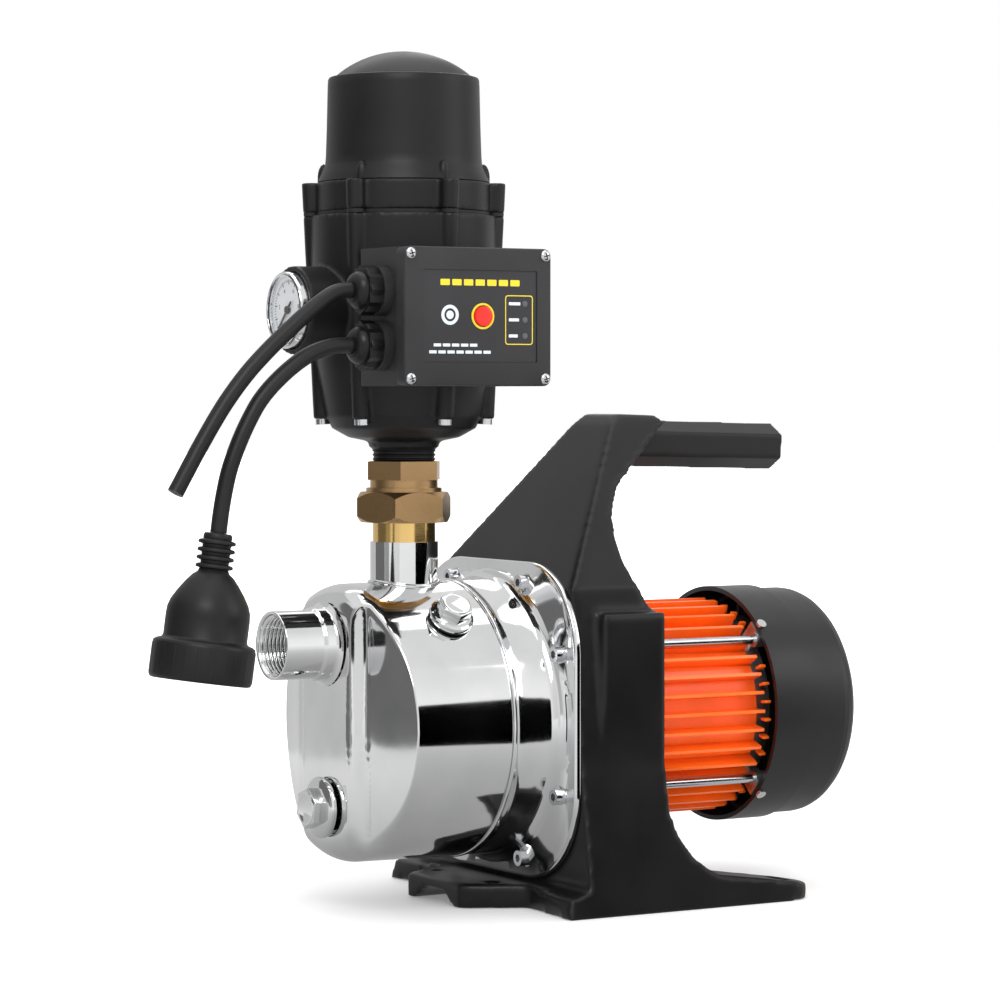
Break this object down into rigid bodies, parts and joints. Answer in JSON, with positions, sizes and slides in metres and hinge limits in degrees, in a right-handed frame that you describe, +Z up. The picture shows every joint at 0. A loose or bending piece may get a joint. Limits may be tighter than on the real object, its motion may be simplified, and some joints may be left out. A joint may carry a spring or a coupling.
{
  "type": "shallow well jet pump",
  "caption": "Self-priming jet pump: stainless pump end, finned motor on a moulded stand with handle, and an automatic pressure control on a brass union.",
  "frame": {"origin": "middle of the pump's footprint on the floor, without its cords", "axes": "+X along the shaft from the suction port towards the motor, +Y away from the control box, +Z up"},
  "size_m": [0.442, 0.196, 0.463],
  "materials": {
    "stainless": "polished stainless sheet",
    "fastener_steel": "plated steel",
    "seal_rubber": "moulded rubber",
    "ceramic": "lapped ceramic",
    "moulded_grey": "glass-filled plastic",
    "turned_brass": "bright turned brass",
    "hex_brass": "dull forged brass",
    "impeller_brass": "machined brass",
    "stand_plastic": "satin moulded plastic",
    "cast_aluminium": "die-cast",
    "core_steel": "laminated steel",
    "copper": "enamelled copper wire",
    "motor_orange": "semi-gloss orange paint",
    "fan_plastic": "moulded plastic",
    "cover_black": "satin black paint",
    "capacitor_white": "moulded can",
    "control_plastic": "satin black moulded plastic",
    "valve_plastic": "moulded acetal",
    "gauge_metal": "polished bezel",
    "dial_white": "printed white dial",
    "needle_black": "black enamel",
    "lens_clear": "clear window",
    "box_plastic": "fine textured plastic",
    "button_red": "gloss red",
    "board_green": "coated board",
    "gland_plastic": "nylon",
    "cord_rubber": "cord sheath",
    "socket_rubber": "moulded soft plastic"
  },
  "bodies": {
    "pump": {"front_casing": "stainless", "suction_port": "stainless", "outlet_tube": "stainless", "casing_flange": "stainless", "casing_screws": "fastener_steel", "casing_seal": "seal_rubber", "filler_plug": "stainless", "drain_plug": "stainless", "plug_seals": "seal_rubber", "jet_body": "moulded_grey", "jet_nozzle": "turned_brass", "venturi_tube": "moulded_grey", "diffuser": "moulded_grey", "seal_plate": "stainless", "seal_seat": "ceramic", "stand": "stand_plastic", "handle": "stand_plastic", "front_shield": "cast_aluminium", "front_bearing": "fastener_steel", "rear_bearing": "fastener_steel", "stator_core": "core_steel", "windings": "copper", "motor_housing": "motor_orange", "rear_shield": "cast_aluminium", "tie_rods": "fastener_steel", "tie_rod_nuts": "fastener_steel", "fan_cover": "cover_black", "fan_cover_screws": "fastener_steel", "run_capacitor": "capacitor_white", "union_tail": "turned_brass", "union_nut": "hex_brass", "union_gasket": "seal_rubber", "union_end": "hex_brass", "lower_housing": "control_plastic", "upper_housing": "control_plastic", "spring_cover": "control_plastic", "housing_screws": "fastener_steel", "diaphragm": "seal_rubber", "pressure_spring": "fastener_steel", "valve_spring": "fastener_steel", "gauge_case": "gauge_metal", "gauge_dial": "dial_white", "gauge_lens": "lens_clear", "control_box": "box_plastic", "box_cover": "box_plastic", "box_screws": "fastener_steel", "circuit_board": "board_green", "cable_glands": "gland_plastic", "supply_cord": "cord_rubber", "outlet_cord": "cord_rubber", "cord_socket": "socket_rubber"},
    "rotor": {"impeller": "impeller_brass", "impeller_nut": "fastener_steel", "seal_ring": "moulded_grey", "motor_shaft": "fastener_steel", "rotor_core": "core_steel", "cooling_fan": "fan_plastic"},
    "valve": {"flow_valve": "valve_plastic"},
    "needle": {"gauge_needle": "needle_black"},
    "button": {"reset_button": "button_red"}
  },
  "joints": [
    {"name": "rotor_spin", "type": "hinge", "parent": "pump", "child": "rotor", "pos_m": [-0.09, 0, 0.101], "axis": [1, 0, 0], "continuous": true},
    {"name": "valve_lift", "type": "slide", "parent": "pump", "child": "valve", "axis": [0, 0, 1], "range_m": [0, 0.008], "stiffness_N_per_m": 20, "springref_m": -0.006, "deforming": ["valve_spring"]},
    {"name": "needle_sweep", "type": "hinge", "parent": "pump", "child": "needle", "pos_m": [-0.1635, 0, 0.3225], "axis": [1, 0, 0], "range_deg": [0, 270], "stiffness_Nm_per_rad": 0.0005},
    {"name": "button_press", "type": "slide", "parent": "pump", "child": "button", "axis": [0, 1, 0], "range_m": [0, 0.0015], "stiffness_N_per_m": 300, "springref_m": -0.001}
  ]
}
